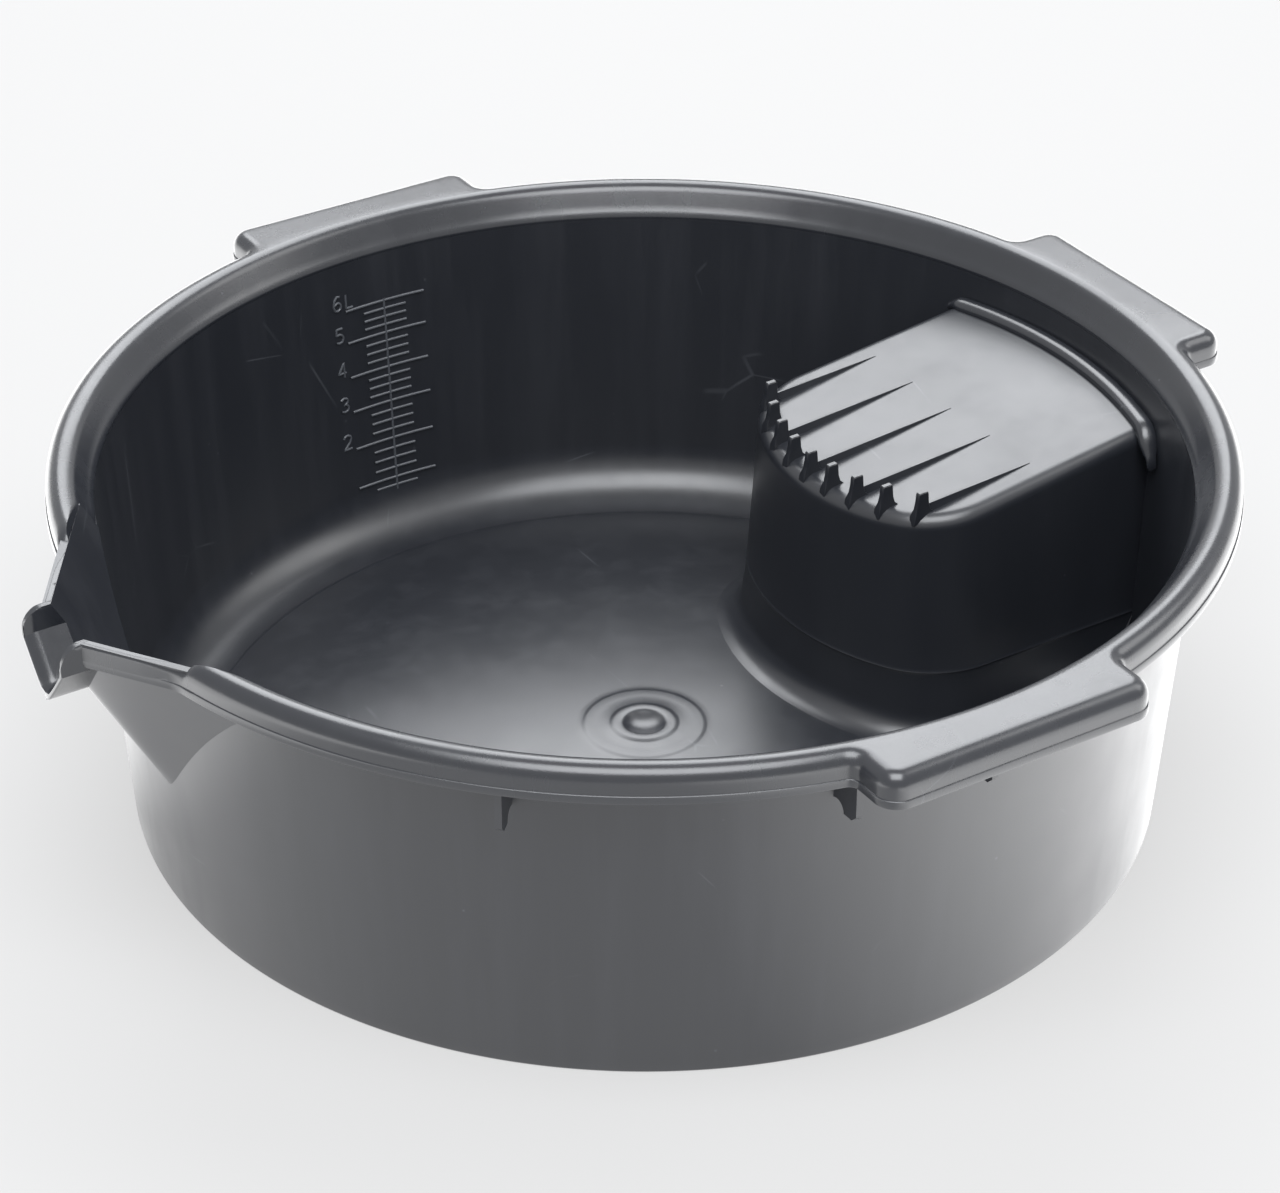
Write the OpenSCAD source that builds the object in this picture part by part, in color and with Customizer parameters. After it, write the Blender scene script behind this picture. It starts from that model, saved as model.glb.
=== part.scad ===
// Round oil drain pan with a pouring spout, three rim grips, a litre scale and a toothed drip shelf.
// The pan is one injection moulding. Each node is one region of that moulding, and neighbouring
// regions meet face to face. The origin is on the pan's axis, on the ground that it stands on.
// The spout points along -X, the drip shelf and the back grip are on +X, the side grips on +Y and -Y.

/* [Rim] */
// Diameter over the bead of the rim
rim_d = 360; // [300:1:440]
// Height of the bead line above the ground
bead_z = 108; // [88:1:132]
// Outer radius of the half-round roll on top of the rim
roll_r = 4.9; // [4:0.1:5.8]
// Height of the roll's centre above the bead line
roll_rise = 2.7; // [2:0.1:4]
// Step from the roll out to the bead
bead_step = 0.4; // [0.2:0.1:0.8]
// Depth of the skirt below the bead line
skirt_h = 2.6; // [1.6:0.1:4]
// Distance from the wall's outer face out to the bead
rim_overhang = 12.1; // [11.5:0.1:16]

/* [Wall and floor] */
// Thickness of the moulded walls
wall_t = 2.2; // [1.6:0.1:2.8]
// Draft of the wall, in degrees
wall_draft = 3.6; // [1:0.1:6]
// Distance from the bead line down to the top of the plain wall
wall_drop = 2; // [1:0.5:2.5]
// Inside radius of the corner between wall and floor
corner_r = 19; // [12:1:24]
// Height of the inner corner's lowest line above the ground
corner_z = 3.2; // [3:0.1:5]
// Step from the corner up to the floor panel
floor_step = 0.4; // [0.2:0.1:0.8]
// Rise of the floor panel from its edge to its middle
floor_crown = 6; // [4:0.5:10]
// Number of ribs under the floor
floor_ribs = 8; // [6:2:10]
// Thickness of the ribs under the floor
floor_rib_t = 2; // [1.4:0.1:2.6]
// Clearance of the floor ribs above the ground
floor_rib_z = 0.8; // [0.4:0.1:1]
// Distance from the floor's edge to the outer ends of the floor ribs
floor_rib_gap = 6; // [4:1:12]

/* [Centre boss] */
// Diameter of the flat boss in the middle of the floor
boss_d = 38; // [30:1:46]
// Rise of the boss above the floor round it
boss_rise = 0.4; // [0.2:0.1:1]
// Diameter of the raised ring on the boss
boss_ring_d = 21; // [16:1:26]
// Diameter of the round dimple in the ring
dimple_d = 12; // [8:1:14]
// Height of the ring on the boss
boss_ring_h = 0.5; // [0.3:0.1:0.8]
// Width of the ring's sloped outer side
boss_ring_slope = 0.8; // [0.5:0.1:1.2]
// Depth of the dimple below the boss
dimple_h = 1.1; // [0.8:0.1:1.4]
// Diameter of the foot under the boss
foot_d = 20; // [14:1:26]

/* [Grips] */
// Reach of a grip beyond the bead
grip_reach = 10.4; // [8:0.2:16]
// Width of a grip along the rim
grip_w = 90; // [70:1:110]
// Plan radius of a grip's outer corners
grip_corner_r = 7; // [5.5:0.5:9]
// Radius of a grip's top edges
grip_edge_r = 4.6; // [3:0.2:5]

/* [Gussets] */
// Thickness of the plates under the rim
gusset_t = 2; // [1.4:0.1:2.6]
// Depth of the plates below the bead line
gusset_drop = 17; // [12:1:24]
// Radius of the notch in the lower edge of a plate
notch_r = 3.2; // [2:0.2:4]
// Bevel at the outer lower corner of a plate
gusset_bevel = 2; // [1:0.5:3]
// Angle of the diagonal plates from the spout's axis
diagonal_a = 45; // [40:1:50]
// Angle of the plates nearest the spout from the spout's axis
spout_gusset_a = 26; // [24:1:32]

/* [Drip shelf] */
// Distance from the wall to the nose of the shelf
shelf_depth = 106.5; // [90:0.5:118]
// Width of the shelf
shelf_w = 103; // [90:1:120]
// Plan radius of the shelf's nose
shelf_nose_r = 75; // [60:1:90]
// Plan radius between nose and sides
shelf_corner_r = 28; // [18:1:34]
// Distance from the bead line down to the shelf's nose
shelf_drop = 26; // [20:1:34]
// Slope of the shelf up to the wall, in degrees
shelf_slope = 7.1; // [4:0.1:9]
// Draft of the column under the shelf, in degrees
column_draft = 3.5; // [1:0.1:5]
// Radius of the bead where the shelf meets the wall
shelf_bead_r = 3; // [2:0.1:4]

/* [Teeth and drain ribs] */
// Number of teeth along the shelf's nose
teeth = 9; // [7:2:9]
// Distance between teeth, across the shelf
tooth_pitch = 10.35; // [9:0.05:11]
// Thickness of a tooth
tooth_t = 1.8; // [1.2:0.1:2.6]
// Length of a tooth's base
tooth_l = 7; // [5:0.5:9]
// Distance from the shelf's edge to a tooth
tooth_inset = 0.9; // [0.5:0.1:2]
// Narrowing of a tooth from its base to its top, at the front
tooth_taper = 1.2; // [0.5:0.1:2]
// Height of a tooth above the shelf
tooth_h = 8; // [5:0.5:11]
// Distance from the shelf's nose to the thin ends of the drain ribs
drain_rib_end = 58.5; // [48:0.5:80]
// Height of a drain rib at its tooth
drain_rib_h = 3.6; // [2:0.2:5]
// Height of a drain rib at its thin end
drain_rib_tip_h = 0.2; // [0.1:0.1:0.6]
// Share of the tooth's thickness left at a drain rib's thin end
drain_rib_tip = 0.4; // [0.2:0.1:0.8]

/* [Spout] */
// Distance from the bead to the tip of the spout's sides
spout_reach = 10.4; // [6:0.2:16]
// Plan angle of a spout side's face from straight ahead, in degrees
spout_a = 33.7; // [30:0.1:37]
// Lean of the spout's sides from upright, in degrees
spout_lean = 24.1; // [22:0.1:27]
// Distance from the roll's crest down to the spout's top edge
spout_drop = 2.6; // [2:0.1:3.4]
// Depth of the flat cut along the keel
keel_cut = 2.6; // [1.5:0.1:4]
// Outside width of the pouring channel
channel_w = 26.2; // [22:0.2:30]
// Length of the channel beyond the spout's sides
channel_l = 9; // [6:0.5:14]
// Height of the channel from its keel to its top edge
channel_h = 23.7; // [21:0.1:26]
// Slope of the channel's flanks, in degrees
flank_a = 51.2; // [46:0.1:54]
// Width of the flat along the channel's keel
channel_flat = 3; // [2:0.5:5]
// Depth of the upright flange along the spout's top edge
flange_h = 8; // [5:0.5:10]
// Thickness of the flange
flange_t = 1.8; // [1.2:0.1:2.4]

/* [Litre scale] */
// Heights of the lines for 1 to 6 litres above the ground
litre_z = [21.3, 36.4, 50.5, 63.4, 76.2, 88]; // [0:0.1:100]
// Spacing of the lines below one litre, as a share of those above
first_share = 0.8; // [0.7:0.05:1]
// Length of a full line on each side of the middle
line_l = 15; // [10:0.5:18]
// Length of a quarter-litre line on each side of the middle
quarter_l = 8; // [5:0.5:9]
// Width of a line
line_w = 0.8; // [0.6:0.1:1.2]
// Height of a line above the wall
line_h = 0.5; // [0.3:0.1:0.8]

/* [Hidden] */
charcoal = "#2b2e33";
eps = 0.01;
far = 400;

// Rim and wall lines
bead_r = rim_d / 2;
roll_x = bead_r - bead_step - roll_r;
roll_z = bead_z + roll_rise;
crest_z = roll_z + roll_r;
skirt_z = bead_z - skirt_h;
wall_top = bead_z - wall_drop;
wall_top_r = bead_r - rim_overhang;
function outer_r(z) = wall_top_r - tan(wall_draft) * (wall_top - z);
function inner_r(z) = outer_r(z) - wall_t;

// Floor lines: the corner's arc meets the wall above and the floor panel's edge below
corner_top = corner_z + corner_r;
corner_x = inner_r(corner_top) - corner_r;
panel_z = corner_z + floor_step;
function panel_top(r) = panel_z + floor_crown * (1 - pow(r / corner_x, 2));
boss_top = panel_top(boss_d / 2) + boss_rise;
boss_under = panel_top(boss_d / 2) - wall_t;

// Shelf lines
nose_z = bead_z - shelf_drop;
nose_x = inner_r(nose_z) - shelf_depth;
nose_cx = nose_x + shelf_nose_r;
side_cy = shelf_w / 2 - shelf_corner_r;
side_cx = nose_cx - sqrt(pow(shelf_nose_r - shelf_corner_r, 2) - pow(side_cy, 2));
side_a = atan2(side_cy, side_cx - nose_cx);
function shelf_z(x) = nose_z + (x - nose_x) * tan(shelf_slope);
function lip_x(y) = abs(y) < shelf_nose_r * sin(180 - side_a)
    ? nose_cx - sqrt(pow(shelf_nose_r, 2) - y * y)
    : side_cx - sqrt(max(0, pow(shelf_corner_r, 2) - pow(abs(y) - side_cy, 2)));

// Spout planes: each side leans out, and its distance from the origin is set by the channel's corner
spout_z = crest_z - spout_drop;
tip_x = bead_r + spout_reach;
tip_y = channel_w / 2 - wall_t / 2;
side_in = cos(spout_lean) * (cos(spout_a) * tip_x + sin(spout_a) * tip_y) - sin(spout_lean) * spout_z;
side_out = side_in + wall_t;
keel_a = atan2(sin(spout_lean), cos(spout_lean) * cos(spout_a));
keel_out = side_out / norm([cos(spout_lean) * cos(spout_a), sin(spout_lean)]) - keel_cut;
keel_in = keel_out - wall_t;
spout_back = bead_r * 0.8;

function arc(x, z, r, a0, a1, n = 12) = [for (i = [0:n]) let (a = a0 + (a1 - a0) * i / n)
    [x + r * cos(a), z + r * sin(a)]];

// Shell of the roll, from the top of the wall over the crest and down to the bead line
roll_start = 150;
roll_outside = concat([[inner_r(wall_top), wall_top]], arc(roll_x, roll_z, roll_r, roll_start, 0),
    [[roll_x + roll_r, bead_z]]);
roll_inside = concat([[outer_r(wall_top), wall_top]], arc(roll_x, roll_z, roll_r - wall_t, roll_start, 0),
    [[roll_x + roll_r - wall_t, bead_z]]);

module ring(points) rotate_extrude($fn = 180) polygon(points);

// Everything within a plane at distance c along the direction given by plan angle a and lean b
module half_space(a, b, c) rotate([0, 90 + b, a]) translate([-far, -far, c - 2 * far]) cube(2 * far);

// Space between the spout's sides, up to planes grown by the wall
module spout_space(side_c, keel_c) {
    intersection() {
        half_space(180 - spout_a, spout_lean, side_c);
        half_space(180 + spout_a, spout_lean, side_c);
        half_space(180, keel_a, keel_c);
        spout_sector();
    }
}

// Sector round the spout within which each side plane crosses the rim once
module spout_sector() {
    reach = tip_x + channel_l;
    linear_extrude(crest_z + reach)
        polygon([[0, 0], [-2 * reach, 2 * reach * tan(spout_a)], [-2 * reach, -2 * reach * tan(spout_a)]]);
}

module wall_solid() ring([[0, 0], [outer_r(0), 0], [outer_r(crest_z), crest_z], [0, crest_z]]);

// Space inside the pan, past the roll's ramp at the top
module bowl_solid() {
    ramp = [roll_x + roll_r * cos(roll_start), roll_z + roll_r * sin(roll_start)];
    ring([[0, -eps], [inner_r(-eps), -eps], [inner_r(wall_top), wall_top], ramp,
        [ramp[0] + 1, crest_z + 1], [0, crest_z + 1]]);
}

// Space of one grip beyond the roll's crest, grown down by the skirt
module grip_block(z0, z1) {
    difference() {
        translate([bead_r / 2, -grip_w / 2, z0]) cube([bead_r / 2 + grip_reach, grip_w, z1 - z0]);
        translate([0, 0, z0 - 1]) cylinder(r = roll_x, h = z1 - z0 + 2, $fn = 180);
    }
}

module at_grips() for (a = [0, 90, -90]) rotate([0, 0, a]) children();

// Plan outline of a grip, drawn inwards by d
module grip_plan(d) {
    r = max(grip_corner_r - d, 0.6);
    x = bead_r + grip_reach - d - r;
    y = grip_w / 2 - d - r;
    polygon(concat([[bead_r / 2, -y - r]], arc(x, -y, r, -90, 0, 6), arc(x, y, r, 0, 90, 6),
        [[bead_r / 2, y + r]]));
}

// Block of a grip with rounded top edges, drawn inwards by d
module grip_body(d, z0) {
    top = crest_z - d;
    r = max(grip_edge_r - d, 1);
    hull() {
        translate([0, 0, z0]) linear_extrude(eps) grip_plan(d + bead_step);
        for (i = [0:5]) let (a = i * 18)
            translate([0, 0, top - r + r * sin(a) - eps]) linear_extrude(eps)
                grip_plan(d + bead_step + r * (1 - cos(a)));
    }
}

module grip() {
    difference() {
        grip_body(0, bead_z);
        grip_body(wall_t, bead_z - 1);
        translate([0, 0, bead_z - 1]) cylinder(r = roll_x, h = 2 * roll_r + roll_rise, $fn = 180);
    }
}

module grip_back() color(charcoal) grip();
module grip_left() color(charcoal) rotate([0, 0, 90]) grip();
module grip_right() color(charcoal) rotate([0, 0, -90]) grip();

module wall() color(charcoal) {
    difference() {
        ring([[inner_r(0), 0], [outer_r(0), 0], [outer_r(wall_top), wall_top],
            [inner_r(wall_top), wall_top]]);
        spout_space(side_out, keel_out);
    }
}

module corner_fillet() color(charcoal) {
    top = corner_top + 1;
    difference() {
        ring(concat(arc(corner_x, corner_top, corner_r, -90, -2 * wall_draft - 1, 18),
            arc(corner_x, corner_top, corner_r + wall_t, 0, -90, 18)));
        ring([[inner_r(0), 0], [2 * bead_r, 0], [2 * bead_r, top], [inner_r(top), top]]);
        column_block(0);
    }
}

module floor_panel() color(charcoal) {
    steps = 14;
    r0 = boss_d / 2;
    line = [for (i = [0:steps]) r0 + (corner_x - r0) * i / steps];
    difference() {
        ring(concat([for (r = line) [r, panel_top(r)]],
            [for (i = [steps:-1:0]) [line[i], panel_top(line[i]) - wall_t]]));
        column_block(0);
    }
}

module gate_boss() color(charcoal) {
    r1 = boss_ring_d / 2;
    r2 = dimple_d / 2;
    top = boss_top + boss_ring_h;
    ring([[0, boss_under], [boss_d / 2, boss_under], [boss_d / 2, boss_top], [r1 + boss_ring_slope, boss_top],
        [r1, top], [r2 + boss_ring_slope, top], [r2, boss_top], [r2 / 2, boss_top - dimple_h * 0.8],
        [0, boss_top - dimple_h]]);
}

module centre_foot() color(charcoal) cylinder(d = foot_d, h = boss_under, $fn = 96);

module floor_rib(i) color(charcoal) {
    steps = 10;
    r0 = foot_d / 2;
    rb = boss_d / 2;
    r1 = corner_x - floor_rib_gap;
    line = [for (k = [0:steps]) rb + (r1 - rb) * k / steps];
    difference() {
        intersection() {
            rotate([0, 0, (i - 1) * 360 / floor_ribs]) translate([0, -floor_rib_t / 2, 0])
                cube([r1 + 1, floor_rib_t, 4 * floor_crown]);
            ring(concat([[r0, floor_rib_z], [r1, floor_rib_z]],
                [for (k = [steps:-1:0]) [line[k], panel_top(line[k]) - wall_t]], [[r0, boss_under]]));
        }
        column_block(0);
    }
}

module rim_roll() color(charcoal) {
    difference() {
        ring(concat(roll_outside, [for (k = [len(roll_inside) - 1:-1:0]) roll_inside[k]]));
        spout_space(side_out, keel_out);
        at_grips() grip_block(bead_z - 1, crest_z + 1);
    }
}

// Plan of the whole skirt's outside, drawn inwards by d, from z0 up by h
module skirt_block(d, z0, h) {
    translate([0, 0, z0]) cylinder(r = bead_r - d, h = h, $fn = 180);
    translate([0, 0, z0]) at_grips() linear_extrude(h) grip_plan(d);
}

module rim_skirt() color(charcoal) {
    difference() {
        skirt_block(0, skirt_z, skirt_h);
        skirt_block(wall_t, skirt_z - 1, skirt_h + 2);
        spout_space(side_out, keel_out);
    }
}

// Space under the roll that the gussets fill, from the wall's outer face to the skirt
module gusset_space(drop) {
    z0 = bead_z - drop;
    x1 = roll_x + roll_r - wall_t;
    rotate([0, 0, 90])
        ring(concat([[x1, z0 + gusset_bevel], [x1 - gusset_bevel, z0], [outer_r(z0), z0]], roll_inside));
}

module gusset_plate(offset_y, drop) {
    intersection() {
        translate([bead_r / 2, offset_y - gusset_t / 2, 0]) cube([bead_r, gusset_t, crest_z]);
        gusset_space(drop);
    }
}

module gusset(offset_y) {
    z0 = bead_z - gusset_drop;
    difference() {
        gusset_plate(offset_y, gusset_drop);
        translate([sqrt(pow(outer_r(z0), 2) - pow(offset_y, 2)) + notch_r / 2, offset_y, z0])
            rotate([90, 0, 0]) cylinder(r = notch_r, h = 2 * gusset_t, center = true, $fn = 48);
    }
}

module gusset_diagonal(i) color(charcoal) rotate([0, 0, 180 + [diagonal_a, 180 - diagonal_a,
    180 + diagonal_a, -diagonal_a][i - 1]]) gusset(0);

// Shallow plate that stays hidden behind the skirt
module gusset_spout(i) color(charcoal)
    rotate([0, 0, 180 + [spout_gusset_a, -spout_gusset_a][i - 1]]) gusset_plate(0, skirt_h);

// Three plates under each grip: one inside each end wall and one in the middle
module gusset_grip(i) color(charcoal) {
    side = grip_w / 2 - bead_step - wall_t - gusset_t / 2;
    rotate([0, 0, [0, 90, -90][floor((i - 1) / 3)]]) gusset([-side, 0, side][(i - 1) % 3]);
}

// Plan outline of the shelf, grown by g
module shelf_plan(g) {
    polygon(concat(
        [[far / 2, shelf_w / 2 + g]],
        arc(side_cx, side_cy, shelf_corner_r + g, 90, side_a, 8),
        arc(nose_cx, 0, shelf_nose_r + g, side_a, 360 - side_a, 14),
        arc(side_cx, -side_cy, shelf_corner_r + g, 360 - side_a, 270, 8),
        [[far / 2, -shelf_w / 2 - g]]));
}

// Solid of the column and shelf, drawn inwards by d, from the ground to well above the shelf
module column_block(d) {
    grow = tan(column_draft);
    top = crest_z;
    hull() {
        translate([0, 0, -eps]) linear_extrude(eps) shelf_plan(grow * nose_z - d);
        translate([0, 0, top]) linear_extrude(eps) shelf_plan(grow * (nose_z - top) - d);
    }
}

// Everything below the shelf's sloped top, lowered by d
module under_shelf(d) {
    translate([nose_x, 0, nose_z - d]) rotate([0, -shelf_slope, 0])
        translate([-far, -far, -2 * far]) cube(2 * far);
}

module column_wall() color(charcoal) {
    intersection() {
        difference() {
            column_block(0);
            column_block(wall_t);
        }
        under_shelf(wall_t);
        bowl_solid();
        translate([0, -far / 2, floor_rib_z]) cube(far);
    }
}

module shelf_top() color(charcoal) {
    intersection() {
        difference() {
            column_block(0);
            under_shelf(wall_t);
        }
        under_shelf(0);
        bowl_solid();
    }
}

// Rounded bead on the shelf, along the wall
module shelf_bead() color(charcoal) {
    wall_x = inner_r(shelf_z(inner_r(nose_z)));
    bead_zc = shelf_z(wall_x);
    difference() {
        intersection() {
            rotate_extrude($fn = 180) translate([wall_x - shelf_bead_r / 2, bead_zc])
                circle(r = shelf_bead_r, $fn = 32);
            column_block(0);
            bowl_solid();
        }
        under_shelf(0);
    }
}

// Back line of a tooth that starts at x0: its foot in the shelf and its head
function tooth_foot(x0) = [x0 + tooth_l, shelf_z(x0 + tooth_l) - wall_t];
function tooth_head(x0) = [x0 + tooth_l - tooth_taper, shelf_z(x0) + tooth_h];

module tooth(i) color(charcoal) {
    y = (i - (teeth + 1) / 2) * tooth_pitch;
    x0 = lip_x(y) + tooth_inset;
    difference() {
        translate([0, y + tooth_t / 2, 0]) rotate([90, 0, 0]) linear_extrude(tooth_t)
            polygon([[x0, shelf_z(x0) - wall_t], tooth_foot(x0), tooth_head(x0),
                [x0 + tooth_taper, shelf_z(x0) + tooth_h]]);
        under_shelf(0);
    }
}

// Long wedge behind every second tooth, from the tooth's back and thinning out towards the wall
module drain_rib(i) color(charcoal) {
    y = (2 * i - 1 - (teeth + 1) / 2) * tooth_pitch;
    x0 = lip_x(y) + tooth_inset;
    x1 = nose_x + drain_rib_end;
    tip = drain_rib_tip * tooth_t / 2;
    foot = tooth_foot(x0);
    head = tooth_head(x0);
    start = foot + (head - foot) * (shelf_z(x0) + drain_rib_h - foot[1]) / (head[1] - foot[1]);
    difference() {
        intersection() {
            translate([0, y + tooth_t / 2, 0]) rotate([90, 0, 0]) linear_extrude(tooth_t)
                polygon([foot, [x1, shelf_z(x1) - wall_t], [x1, shelf_z(x1) + drain_rib_tip_h], start]);
            linear_extrude(crest_z) polygon([[x0, y - tooth_t / 2], [x1, y - tip], [x1, y + tip],
                [x0, y + tooth_t / 2]]);
        }
        under_shelf(0);
    }
}

// Section of the pouring channel, drawn inwards by d on its flanks and sides
module channel_plan(d) {
    half = channel_w / 2 - d;
    keel = spout_z - channel_h + d / cos(flank_a);
    flat = channel_flat / 2;
    shoulder = keel + half * tan(flank_a);
    top = d > 0 ? spout_z + 1 : spout_z;
    low = keel + flat * tan(flank_a);
    polygon([[-half, top], [-half, shoulder], [-flat, low], [flat, low], [half, shoulder], [half, top]]);
}

module channel_block(d, reach) {
    translate([-tip_x - channel_l - reach, 0, 0]) rotate([90, 0, 90])
        linear_extrude(tip_x + channel_l + reach - spout_back) channel_plan(d);
}

module below_spout_edge() translate([-far, -far / 2, 0]) cube([far, far, spout_z]);

module spout_side(s) color(charcoal) {
    difference() {
        intersection() {
            spout_space(side_out, keel_out);
            below_spout_edge();
            translate([-far, s > 0 ? 0 : -far, 0]) cube([far, far, far]);
        }
        half_space(180 - s * spout_a, spout_lean, side_in);
        bowl_solid();
        channel_block(wall_t, 1);
    }
}

module spout_side_left() spout_side(1);
module spout_side_right() spout_side(-1);

module spout_keel() color(charcoal) {
    difference() {
        intersection() {
            spout_space(side_out, keel_out);
            half_space(180 - spout_a, spout_lean, side_in);
            half_space(180 + spout_a, spout_lean, side_in);
            below_spout_edge();
        }
        half_space(180, keel_a, keel_in);
        bowl_solid();
        channel_block(wall_t, 1);
    }
}

module spout_channel() color(charcoal) {
    difference() {
        channel_block(0, 0);
        channel_block(wall_t, 1);
        spout_space(side_out, keel_out);
        wall_solid();
    }
}

// Upright flange along the top of a spout side, hanging clear of it at its lower edge
module spout_flange(s) color(charcoal) {
    edge = (side_out + sin(spout_lean) * spout_z) / cos(spout_lean);
    difference() {
        translate([0, 0, spout_z - flange_h]) rotate([0, 0, 180 - s * spout_a])
            translate([edge - flange_t, -far / 4, 0]) cube([flange_t, far / 2, flange_h]);
        half_space(180 - s * spout_a, spout_lean, side_out);
        channel_block(0, 1);
        cylinder(r = bead_r, h = far, $fn = 180);
        translate([-far, s > 0 ? -far : 0, 0]) cube([2 * far, far, far]);
        translate([-spout_back, -far, 0]) cube(2 * far);
    }
}

module spout_flange_left() spout_flange(1);
module spout_flange_right() spout_flange(-1);

// One line of the scale, this long on each side of the middle, seen along Y
module scale_line(z, half_l) translate([-half_l, z - line_w / 2]) square([2 * half_l, line_w]);

// All lines of the scale and the upright line through their middles
module scale_lines() {
    n = len(litre_z);
    first = (litre_z[1] - litre_z[0]) / 4 * first_share;
    low = litre_z[0] - 3 * first - line_w;
    translate([-line_w / 2, low]) square([line_w, litre_z[n - 1] + line_w - low]);
    for (z = litre_z) scale_line(z, line_l);
    for (i = [0:n - 2]) for (k = [1:3])
        scale_line(litre_z[i] + (litre_z[i + 1] - litre_z[i]) * k / 4, quarter_l);
    for (k = [1:3]) scale_line(litre_z[0] - k * first, quarter_l);
}

// Ridges on the wall's inner face, opposite the right grip
module litre_scale() color(charcoal) {
    z1 = crest_z;
    intersection() {
        ring([[inner_r(0) - line_h, 0], [inner_r(0), 0], [inner_r(z1), z1], [inner_r(z1) - line_h, z1]]);
        translate([0, bead_r, 0]) rotate([90, 0, 0]) linear_extrude(bead_r / 2) scale_lines();
    }
}

wall();
corner_fillet();
floor_panel();
gate_boss();
centre_foot();
for (i = [1:floor_ribs]) floor_rib(i);
rim_roll();
rim_skirt();
grip_back();
grip_left();
grip_right();
for (i = [1:4]) gusset_diagonal(i);
for (i = [1:2]) gusset_spout(i);
for (i = [1:9]) gusset_grip(i);
column_wall();
shelf_top();
shelf_bead();
for (i = [1:teeth]) tooth(i);
for (i = [1:(teeth + 1) / 2]) drain_rib(i);
spout_side_left();
spout_side_right();
spout_keel();
spout_channel();
spout_flange_left();
spout_flange_right();
litre_scale();
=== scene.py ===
# Round oil drain pan in satin black plastic: one moulded bowl with a rolled rim, three grips,
# a pouring spout, a toothed drip shelf and a litre scale. Shapes are worked out in millimetres.
import math

import bmesh
import bpy
import numpy as np
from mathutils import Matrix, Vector


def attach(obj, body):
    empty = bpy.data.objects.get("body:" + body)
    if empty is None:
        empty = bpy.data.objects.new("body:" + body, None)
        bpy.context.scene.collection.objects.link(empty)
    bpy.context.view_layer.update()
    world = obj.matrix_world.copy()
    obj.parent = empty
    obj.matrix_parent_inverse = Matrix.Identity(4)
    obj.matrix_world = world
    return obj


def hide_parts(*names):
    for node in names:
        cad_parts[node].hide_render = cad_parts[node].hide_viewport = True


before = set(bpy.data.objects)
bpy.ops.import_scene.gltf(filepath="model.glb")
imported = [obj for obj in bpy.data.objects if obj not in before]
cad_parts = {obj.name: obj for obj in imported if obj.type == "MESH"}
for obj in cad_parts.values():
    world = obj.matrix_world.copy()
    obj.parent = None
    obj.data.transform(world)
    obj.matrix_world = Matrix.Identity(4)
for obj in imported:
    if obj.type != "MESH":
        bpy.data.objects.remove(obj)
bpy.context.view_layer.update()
print("frame loaded")

# lines that the pan's regions share, in mm
pan = {
    "wallTopR": 167.9, "wallTopZ": 106.0, "wallT": 2.2, "wallDraft": 3.6,
    "cornerR": 19.0, "cornerZ": 3.2, "floorStep": 0.4, "floorCrown": 6.0,
    "bossR": 19.0, "bossRise": 0.4, "ringR": 10.5, "ringRise": 0.6, "dimpleR": 6.2, "dimpleDepth": 1.5,
    "footR": 10.0, "footRound": 0.8, "turns": 360,
}
draft = math.tan(math.radians(pan["wallDraft"]))


def outerR(z):
    return pan["wallTopR"] - draft * (pan["wallTopZ"] - z)


def innerR(z):
    return outerR(z) - pan["wallT"]


cornerTop = pan["cornerZ"] + pan["cornerR"]
cornerX = innerR(cornerTop) - pan["cornerR"]
panelZ = pan["cornerZ"] + pan["floorStep"]


def floorZ(r):
    # a shallow dome: highest at the middle, falling with the square of the radius
    return panelZ + pan["floorCrown"] * (1 - (r / cornerX) ** 2)


def groundZ(r):
    # floor height at radius r: the dome, then the quarter-round corner
    arc = cornerTop - np.sqrt(np.maximum(pan["cornerR"] ** 2 - np.maximum(r - cornerX, 0) ** 2, 0))
    return np.where(r < cornerX, floorZ(r), arc)


def gridMesh(name, points, loopRows=False, loopCols=False, capRows=False, keep=None, sharp=40.0):
    # quads between neighbouring rows and columns of a grid of points
    rows, cols = points.shape[:2]
    index = np.arange(rows * cols).reshape(rows, cols)
    if loopRows:
        index = np.vstack([index, index[:1]])
    if loopCols:
        index = np.hstack([index, index[:, :1]])
    quads = np.stack([index[:-1, :-1], index[1:, :-1], index[1:, 1:], index[:-1, 1:]], axis=-1).reshape(-1, 4)
    flat = points.reshape(-1, 3)
    if keep is not None:
        quads = quads[keep(flat[quads].mean(axis=1))]
    faces = quads.tolist()
    if capRows:
        faces += [index[0, :cols].tolist(), index[rows - 1, :cols].tolist()]
    mesh = bpy.data.meshes.new(name)
    mesh.from_pydata((flat * 0.001).tolist(), [], faces)
    work = bmesh.new()
    work.from_mesh(mesh)
    bmesh.ops.remove_doubles(work, verts=work.verts, dist=2e-6)
    bmesh.ops.dissolve_degenerate(work, edges=work.edges, dist=1e-6)
    loose = [v for v in work.verts if not v.link_faces]
    bmesh.ops.delete(work, geom=loose, context="VERTS")
    bmesh.ops.recalc_face_normals(work, faces=work.faces)
    work.to_mesh(mesh)
    work.free()
    mesh.shade_smooth()
    mesh.set_sharp_from_angle(angle=math.radians(sharp))
    piece = bpy.data.objects.new(name, mesh)
    bpy.context.scene.collection.objects.link(piece)
    return piece


def placePiece(piece, material, *nodes):
    piece.data.materials.clear()
    piece.data.materials.append(material)
    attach(piece, "root")
    if nodes:
        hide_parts(*nodes)


def addSocket(group, name, kind, direction, value=None):
    socket = group.interface.new_socket(name=name, in_out=direction, socket_type=kind)
    if value is not None:
        socket.default_value = value
    return socket


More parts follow.
